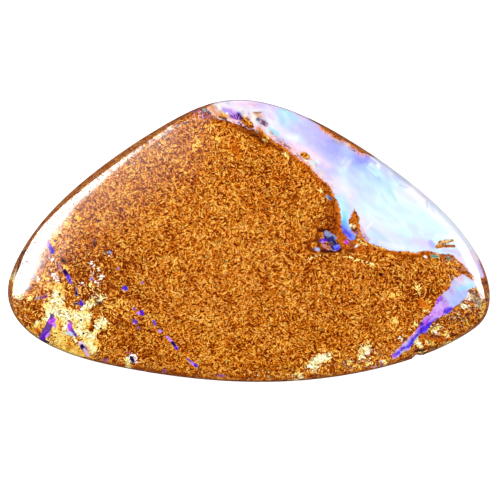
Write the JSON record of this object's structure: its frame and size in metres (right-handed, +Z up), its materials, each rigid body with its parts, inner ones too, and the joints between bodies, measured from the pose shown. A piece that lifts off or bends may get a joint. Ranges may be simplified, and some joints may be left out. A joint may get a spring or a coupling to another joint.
{
  "type": "polished boulder opal stone",
  "caption": "Freeform cabochon of brown ironstone with precious opal seams, domed polished face, leaning wall, flat ground back to rest or set it on.",
  "frame": {"origin": "middle of the stone's plan box, on the plane of its flat ground back", "axes": "+Z up out of the polished face, +X along the stone's length towards its sharper end, +Y across it towards its rounded apex"},
  "size_m": [0.0362, 0.0212, 0.0054],
  "materials": {
    "stone": "polished"
  },
  "bodies": {
    "root": {"boulder_opal_stone": "stone"}
  },
  "joints": []
}
